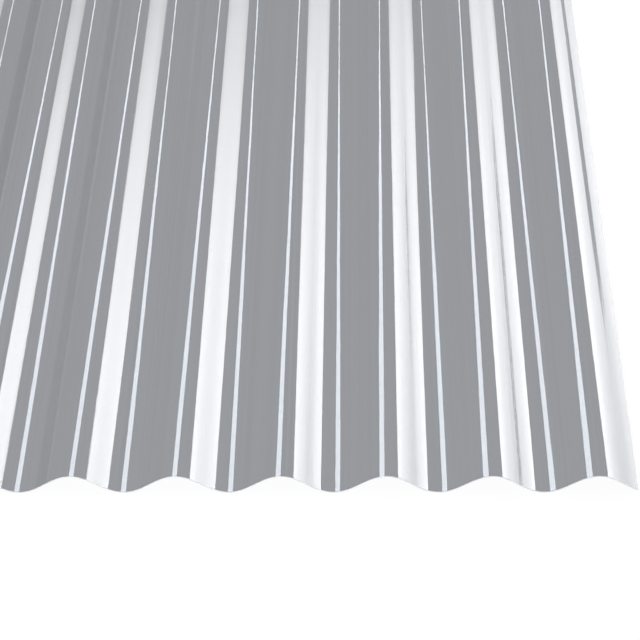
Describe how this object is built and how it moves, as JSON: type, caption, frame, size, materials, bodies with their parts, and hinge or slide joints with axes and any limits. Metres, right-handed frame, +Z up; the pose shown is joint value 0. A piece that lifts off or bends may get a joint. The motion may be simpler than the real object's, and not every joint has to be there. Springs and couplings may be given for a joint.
{
  "type": "corrugated polycarbonate sheet",
  "caption": "Clear, grey-tinted polycarbonate sheet with even rounded waves along its length, laid on battens and lapped with its neighbours as a light-passing roof.",
  "frame": {"origin": "middle of the sheet's footprint, on the level that its valleys rest on", "axes": "+X across the waves from one long edge to the other, +Y along the waves, +Z up, away from what the sheet lies on"},
  "size_m": [0.6676, 2.4384, 0.018],
  "materials": {
    "polycarbonate": "clear, solar-grey tinted, extruded, high gloss on both faces, dull where it is cut"
  },
  "bodies": {
    "root": {"corrugated_sheet": "polycarbonate"}
  },
  "joints": []
}
